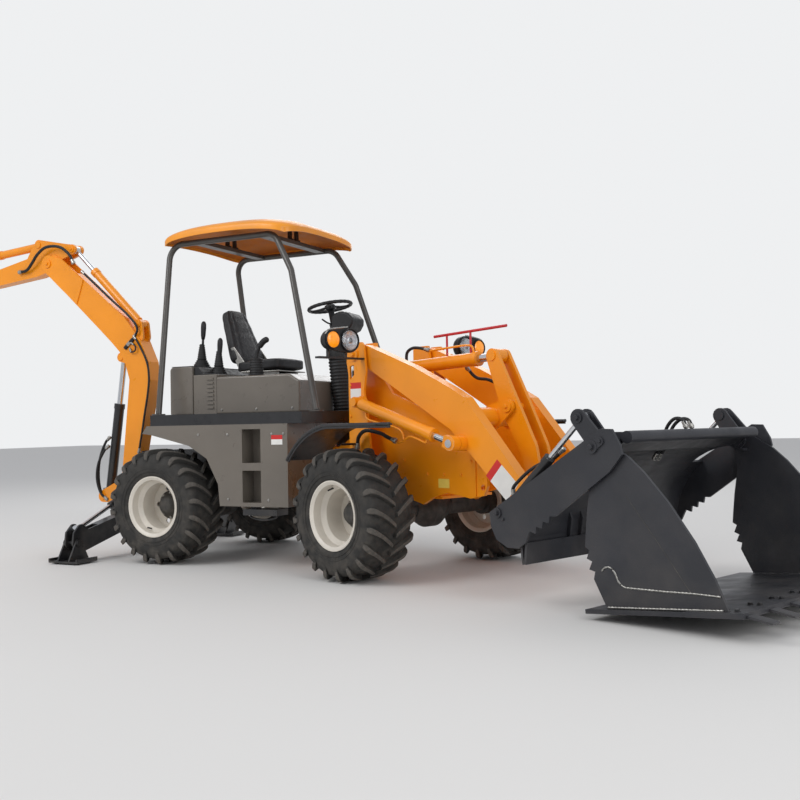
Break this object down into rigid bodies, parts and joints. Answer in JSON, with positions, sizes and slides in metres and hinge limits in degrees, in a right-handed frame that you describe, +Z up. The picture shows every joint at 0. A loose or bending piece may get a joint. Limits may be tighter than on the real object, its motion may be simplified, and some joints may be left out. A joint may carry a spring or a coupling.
{
  "type": "articulated backhoe loader",
  "caption": "Small articulated backhoe loader: a steering front frame with loader arms and a clam bucket, an open canopy over the seat, a rear boom and dipper, and two stabilizer legs.",
  "frame": {"origin": "on the ground, under the middle of the bounding box as parked", "axes": "+X forward along the rear frame, +Y to the machine's left, +Z up"},
  "size_m": [7.8575, 2.9099, 2.5194],
  "materials": {
    "frame": "satin",
    "orange": "gloss",
    "taupe": "satin",
    "deck_black": "satin",
    "canopy_grey": "satin",
    "canopy_orange": "satin",
    "seat_black": "matte",
    "black_plastic": "matte",
    "tyre": "matte",
    "rim_cream": "satin",
    "chrome": "polished",
    "black_cylinder": "gloss",
    "red": "gloss",
    "bucket_black": "satin",
    "engine_grey": "matte"
  },
  "bodies": {
    "chassis": {"rear_frame": "frame", "rear_axle": "frame", "engine": "engine_grey", "side_bodies": "taupe", "deck": "deck_black", "hood": "taupe", "canopy_frame": "canopy_grey", "canopy_roof": "canopy_orange", "seat": "seat_black", "steering_column": "black_plastic", "control_levers": "black_plastic"},
    "front_chassis": {"front_frame": "orange", "front_axle": "frame", "front_fenders": "frame", "lamps": "frame"},
    "wheel_rear_right": {"tyre_rear_right": "tyre", "rim_rear_right": "rim_cream"},
    "wheel_rear_left": {"tyre_rear_left": "tyre", "rim_rear_left": "rim_cream"},
    "wheel_front_right": {"tyre_front_right": "tyre", "rim_front_right": "rim_cream"},
    "wheel_front_left": {"tyre_front_left": "tyre", "rim_front_left": "rim_cream"},
    "loader_arms": {"arms": "orange"},
    "lift_barrels": {"lift_barrels": "orange"},
    "lift_rods": {"lift_rods": "chrome"},
    "tilt_barrel": {"tilt_barrel": "orange", "level_bar": "red"},
    "tilt_rod": {"tilt_rod": "chrome"},
    "bellcrank": {"bellcrank": "orange"},
    "bucket_link": {"bucket_link": "orange"},
    "bucket_back": {"bucket_back": "bucket_black"},
    "bucket_clam": {"bucket_clam": "bucket_black"},
    "clam_barrels": {"clam_barrels": "black_cylinder"},
    "clam_rods": {"clam_rods": "chrome"},
    "swing_post": {"swing_post": "orange"},
    "swing_barrel": {"swing_barrel": "black_cylinder"},
    "swing_rod": {"swing_rod": "chrome"},
    "boom": {"boom": "orange"},
    "boom_barrel": {"boom_barrel": "black_cylinder"},
    "boom_rod": {"boom_rod": "chrome"},
    "dipper": {"dipper": "orange"},
    "dipper_barrel": {"dipper_barrel": "black_cylinder"},
    "dipper_rod": {"dipper_rod": "chrome"},
    "hoe_bucket": {"hoe_bucket": "bucket_black"},
    "hoe_barrel": {"hoe_barrel": "black_cylinder"},
    "hoe_rod": {"hoe_rod": "chrome"},
    "hoe_rocker": {"hoe_rocker": "orange"},
    "hoe_link": {"hoe_link": "orange"},
    "leg_right": {"leg_right": "frame"},
    "pad_right": {"pad_right": "frame"},
    "leg_barrel_right": {"leg_barrel_right": "black_cylinder"},
    "leg_rod_right": {"leg_rod_right": "chrome"},
    "leg_left": {"leg_left": "frame"},
    "pad_left": {"pad_left": "frame"},
    "leg_barrel_left": {"leg_barrel_left": "black_cylinder"},
    "leg_rod_left": {"leg_rod_left": "chrome"}
  },
  "joints": [
    {"name": "steering", "type": "hinge", "parent": "chassis", "child": "front_chassis", "pos_m": [0.3, 0.455, 0.58], "axis": [0, 0, 1], "range_deg": [-14, 54]},
    {"name": "wheel_rear_right", "type": "hinge", "parent": "chassis", "child": "wheel_rear_right", "pos_m": [-0.655, -0.185, 0.395], "axis": [0, 1, 0], "continuous": true},
    {"name": "wheel_rear_left", "type": "hinge", "parent": "chassis", "child": "wheel_rear_left", "pos_m": [-0.655, 1.095, 0.395], "axis": [0, 1, 0], "continuous": true},
    {"name": "wheel_front_right", "type": "hinge", "parent": "front_chassis", "child": "wheel_front_right", "pos_m": [0.97381, -0.47132, 0.395], "axis": [0.342, 0.9397, 0], "continuous": true},
    {"name": "wheel_front_left", "type": "hinge", "parent": "front_chassis", "child": "wheel_front_left", "pos_m": [1.4116, 0.73148, 0.395], "axis": [0.342, 0.9397, 0], "continuous": true},
    {"name": "lift", "type": "hinge", "parent": "front_chassis", "child": "loader_arms", "pos_m": [0.93899, 0.22243, 1.375], "axis": [-0.342, -0.9397, 0], "range_deg": [-3, 75]},
    {"name": "lift_barrel_turn", "type": "hinge", "parent": "front_chassis", "child": "lift_barrels", "pos_m": [1.01605, 0.19438, 1.068], "axis": [-0.342, -0.9397, 0], "range_deg": [-3.51, 75.85]},
    {"name": "lift_rod_slide", "type": "slide", "parent": "lift_barrels", "child": "lift_rods", "axis": [0.8957, -0.326, -0.3025], "range_m": [-0.01676, 0.39511]},
    {"name": "tilt_barrel_turn", "type": "hinge", "parent": "front_chassis", "child": "tilt_barrel", "pos_m": [0.95778, 0.21559, 1.29], "axis": [-0.342, -0.9397, 0], "range_deg": [-3.41, 73.26]},
    {"name": "bucket_tilt", "type": "hinge", "parent": "loader_arms", "child": "bucket_back", "pos_m": [2.29215, -0.27008, 0.42], "axis": [0.342, 0.9397, 0], "range_deg": [-45, 60]},
    {"name": "tilt_rod_slide", "type": "slide", "parent": "tilt_barrel", "child": "tilt_rod", "axis": [0.9391, -0.3418, 0.0366], "range_m": [-0.08739, 0.0658]},
    {"name": "bellcrank_turn", "type": "hinge", "parent": "loader_arms", "child": "bellcrank", "pos_m": [1.90218, -0.12814, 1.017], "axis": [-0.342, -0.9397, 0], "range_deg": [-13.19, 17.42]},
    {"name": "bucket_link_turn", "type": "hinge", "parent": "bellcrank", "child": "bucket_link", "pos_m": [2.08542, -0.19484, 0.52], "axis": [-0.342, -0.9397, 0], "range_deg": [-54.14, 40.73]},
    {"name": "clam_open", "type": "hinge", "parent": "bucket_back", "child": "bucket_clam", "pos_m": [2.88791, -0.48692, 0.804], "axis": [-0.342, -0.9397, 0], "range_deg": [-38, 35]},
    {"name": "clam_barrel_turn", "type": "hinge", "parent": "bucket_back", "child": "clam_barrels", "pos_m": [2.33913, -0.28718, 0.47], "axis": [-0.342, -0.9397, 0], "range_deg": [-2.08, 1.96]},
    {"name": "clam_rod_slide", "type": "slide", "parent": "clam_barrels", "child": "clam_rods", "axis": [0.6768, -0.2463, 0.6937], "range_m": [-0.09705, 0.10529]},
    {"name": "swing", "type": "hinge", "parent": "chassis", "child": "swing_post", "pos_m": [-1.39, 0.455, 0.48], "axis": [0, 0, 1], "range_deg": [-70, 70]},
    {"name": "swing_barrel_turn", "type": "hinge", "parent": "chassis", "child": "swing_barrel", "pos_m": [-0.85, 0.55, 0.45], "axis": [0, 0, 1], "range_deg": [-0.96, 0.96]},
    {"name": "swing_rod_slide", "type": "slide", "parent": "swing_barrel", "child": "swing_rod", "axis": [-0.9989, 0.0462, 0], "range_m": [-0.11013, 0.11013]},
    {"name": "boom_lift", "type": "hinge", "parent": "swing_post", "child": "boom", "pos_m": [-1.535, 0.455, 0.5], "axis": [0, 1, 0], "range_deg": [-76, 6]},
    {"name": "boom_barrel_turn", "type": "hinge", "parent": "swing_post", "child": "boom_barrel", "pos_m": [-1.76, 0.455, 0.4], "axis": [0, 1, 0], "range_deg": [-75.98, 6.46]},
    {"name": "boom_rod_slide", "type": "slide", "parent": "boom_barrel", "child": "boom_rod", "axis": [0.1511, 0, 0.9885], "range_m": [-0.30278, 0.02483]},
    {"name": "dipper_crowd", "type": "hinge", "parent": "boom", "child": "dipper", "pos_m": [-2.34, 0.455, 2.305], "axis": [0, -1, 0], "range_deg": [-10, 84]},
    {"name": "dipper_barrel_turn", "type": "hinge", "parent": "boom", "child": "dipper_barrel", "pos_m": [-1.412, 0.455, 1.751], "axis": [0, -1, 0], "range_deg": [-0.9, 3.86]},
    {"name": "dipper_rod_slide", "type": "slide", "parent": "dipper_barrel", "child": "dipper_rod", "axis": [-0.7212, 0, 0.6927], "range_m": [-0.04448, 0.36626]},
    {"name": "hoe_bucket_curl", "type": "hinge", "parent": "dipper", "child": "hoe_bucket", "pos_m": [-3.48143, 0.455, 2.16485], "axis": [0, 1, 0], "range_deg": [-66, 60]},
    {"name": "hoe_barrel_turn", "type": "hinge", "parent": "dipper", "child": "hoe_barrel", "pos_m": [-2.46168, 0.455, 2.47544], "axis": [0, 1, 0], "range_deg": [-5.51, 5.05]},
    {"name": "hoe_rod_slide", "type": "slide", "parent": "hoe_barrel", "child": "hoe_rod", "axis": [-0.9974, 0, -0.0727], "range_m": [-0.11789, 0.12958]},
    {"name": "hoe_rocker_turn", "type": "hinge", "parent": "dipper", "child": "hoe_rocker", "pos_m": [-3.23329, 0.455, 2.19532], "axis": [0, 1, 0], "range_deg": [-35.36, 32.19]},
    {"name": "hoe_link_turn", "type": "hinge", "parent": "hoe_bucket", "child": "hoe_link", "pos_m": [-3.59535, 0.455, 2.27719], "axis": [0, 1, 0], "range_deg": [-53.6, 58.91]},
    {"name": "leg_raise_right", "type": "hinge", "parent": "chassis", "child": "leg_right", "pos_m": [-1.28, 0.235, 0.292], "axis": [-1, 0, 0], "range_deg": [-8, 72]},
    {"name": "pad_turn_right", "type": "hinge", "parent": "leg_right", "child": "pad_right", "pos_m": [-1.28, -0.445, 0.14], "axis": [-1, 0, 0], "range_deg": [-25.7, 3.3]},
    {"name": "leg_barrel_turn_right", "type": "hinge", "parent": "chassis", "child": "leg_barrel_right", "pos_m": [-1.28, 0.335, 0.539], "axis": [-1, 0, 0], "range_deg": [-7.54, 63.87]},
    {"name": "leg_rod_slide_right", "type": "slide", "parent": "leg_barrel_right", "child": "leg_rod_right", "axis": [0, -0.9233, -0.3841], "range_m": [-0.30612, 0.0349]},
    {"name": "leg_raise_left", "type": "hinge", "parent": "chassis", "child": "leg_left", "pos_m": [-1.28, 0.675, 0.292], "axis": [1, 0, 0], "range_deg": [-8, 72]},
    {"name": "pad_turn_left", "type": "hinge", "parent": "leg_left", "child": "pad_left", "pos_m": [-1.28, 1.355, 0.14], "axis": [1, 0, 0], "range_deg": [-25.7, 3.3]},
    {"name": "leg_barrel_turn_left", "type": "hinge", "parent": "chassis", "child": "leg_barrel_left", "pos_m": [-1.28, 0.575, 0.539], "axis": [1, 0, 0], "range_deg": [-7.54, 63.87]},
    {"name": "leg_rod_slide_left", "type": "slide", "parent": "leg_barrel_left", "child": "leg_rod_left", "axis": [0, 0.9233, -0.3841], "range_m": [-0.30612, 0.0349]}
  ],
  "couplings": [
    {"joint": "lift_barrel_turn", "follows": "lift", "ratio": 1.0046},
    {"joint": "lift_rod_slide", "follows": "lift", "m_per_rad": 0.30108},
    {"joint": "tilt_barrel_turn", "follows": "lift", "ratio": 0.97015},
    {"joint": "tilt_rod_slide", "follows": "bucket_tilt", "m_per_rad": -0.082501},
    {"joint": "bellcrank_turn", "follows": "bucket_tilt", "ratio": 0.282},
    {"joint": "bucket_link_turn", "follows": "bucket_tilt", "ratio": -0.894},
    {"joint": "clam_barrel_turn", "follows": "clam_open", "ratio": 0.041578},
    {"joint": "clam_rod_slide", "follows": "clam_open", "m_per_rad": -0.15724},
    {"joint": "swing_barrel_turn", "follows": "swing", "ratio": 0.006575},
    {"joint": "swing_rod_slide", "follows": "swing", "m_per_rad": 0.089327},
    {"joint": "boom_barrel_turn", "follows": "boom_lift", "ratio": 0.99311},
    {"joint": "boom_rod_slide", "follows": "boom_lift", "m_per_rad": 0.22751},
    {"joint": "dipper_barrel_turn", "follows": "dipper_crowd", "ratio": 0.040022},
    {"joint": "dipper_rod_slide", "follows": "dipper_crowd", "m_per_rad": 0.24914},
    {"joint": "hoe_barrel_turn", "follows": "hoe_bucket_curl", "ratio": 0.075916},
    {"joint": "hoe_rod_slide", "follows": "hoe_bucket_curl", "m_per_rad": -0.11162},
    {"joint": "hoe_rocker_turn", "follows": "hoe_bucket_curl", "ratio": 0.52814},
    {"joint": "hoe_link_turn", "follows": "hoe_bucket_curl", "ratio": -0.885},
    {"joint": "pad_turn_right", "follows": "leg_raise_right", "ratio": -0.35},
    {"joint": "leg_barrel_turn_right", "follows": "leg_raise_right", "ratio": 0.88018},
    {"joint": "leg_rod_slide_right", "follows": "leg_raise_right", "m_per_rad": -0.24281},
    {"joint": "pad_turn_left", "follows": "leg_raise_left", "ratio": -0.35},
    {"joint": "leg_barrel_turn_left", "follows": "leg_raise_left", "ratio": 0.88018},
    {"joint": "leg_rod_slide_left", "follows": "leg_raise_left", "m_per_rad": -0.24281}
  ]
}
